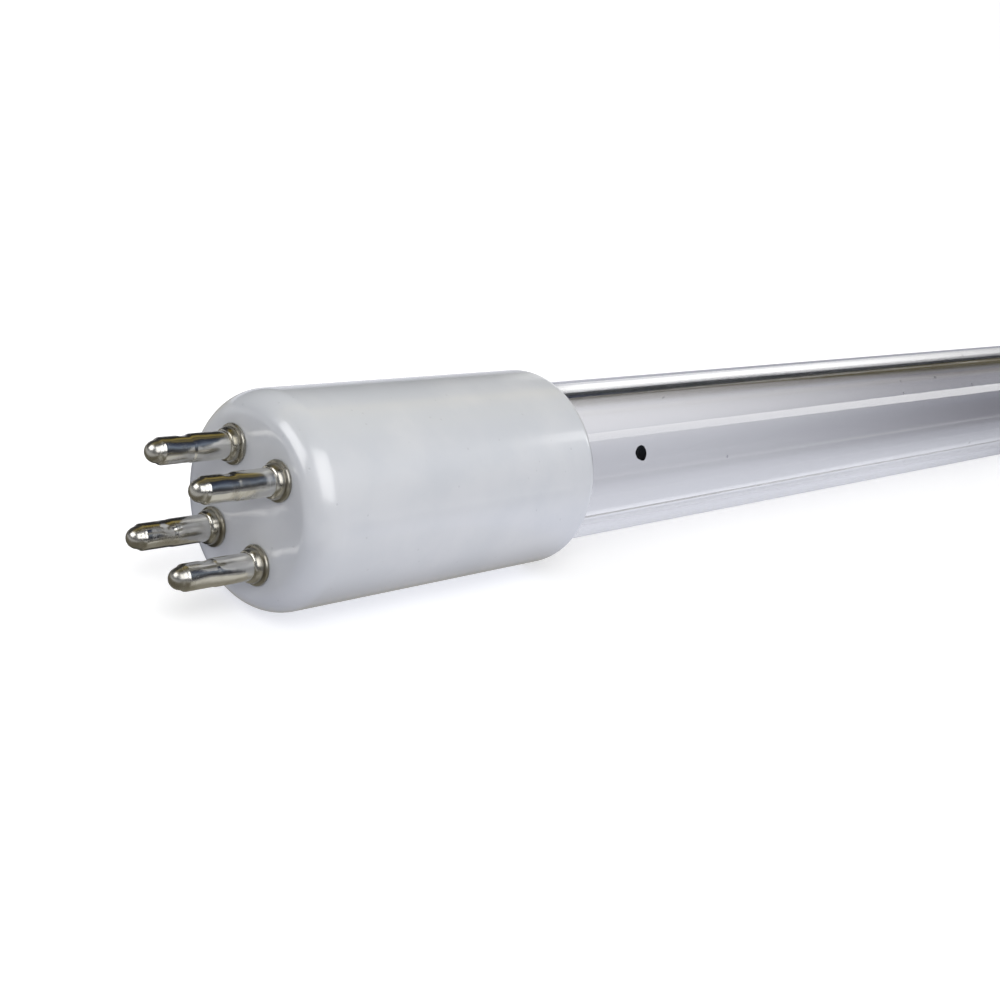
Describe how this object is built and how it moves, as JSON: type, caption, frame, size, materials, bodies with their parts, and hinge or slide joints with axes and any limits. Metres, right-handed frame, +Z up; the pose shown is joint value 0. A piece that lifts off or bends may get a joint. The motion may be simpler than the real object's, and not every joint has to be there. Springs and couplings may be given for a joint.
{
  "type": "uvc germicidal lamp tube",
  "caption": "Straight clear quartz germicidal lamp tube with a white ceramic pin base at one end and a plain white ceramic cap at the other.",
  "frame": {"origin": "centre of the ceramic base's flat pin face", "axes": "+X along the lamp from the pin face to the far cap, +Z up; the pins point along -X and their rectangle is square to Y and Z"},
  "size_m": [0.2954, 0.0188, 0.0188],
  "materials": {
    "white_ceramic": "semi-gloss",
    "clear_quartz": "polished",
    "white_cement": "matt",
    "nickel_plated_pins": "bright",
    "nickel_wire": "drawn",
    "molybdenum": "satin",
    "tungsten": "matt",
    "amalgam": "dull"
  },
  "bodies": {
    "root": {"amalgam_pellet": "amalgam", "base_cathode": "tungsten", "base_cement": "white_cement", "base_foil_1": "molybdenum", "base_foil_2": "molybdenum", "base_inner_lead_1": "nickel_wire", "base_inner_lead_2": "nickel_wire", "base_outer_lead_1": "molybdenum", "base_outer_lead_2": "molybdenum", "ceramic_base": "white_ceramic", "ceramic_end_cap": "white_ceramic", "contact_pin_1": "nickel_plated_pins", "contact_pin_2": "nickel_plated_pins", "contact_pin_3": "nickel_plated_pins", "contact_pin_4": "nickel_plated_pins", "end_cathode": "tungsten", "end_cement": "white_cement", "end_foil_1": "molybdenum", "end_foil_2": "molybdenum", "end_inner_lead_1": "nickel_wire", "end_inner_lead_2": "nickel_wire", "end_outer_lead_1": "molybdenum", "end_outer_lead_2": "molybdenum", "quartz_tube": "clear_quartz", "return_wire_1": "nickel_wire", "return_wire_2": "nickel_wire"}
  },
  "joints": []
}
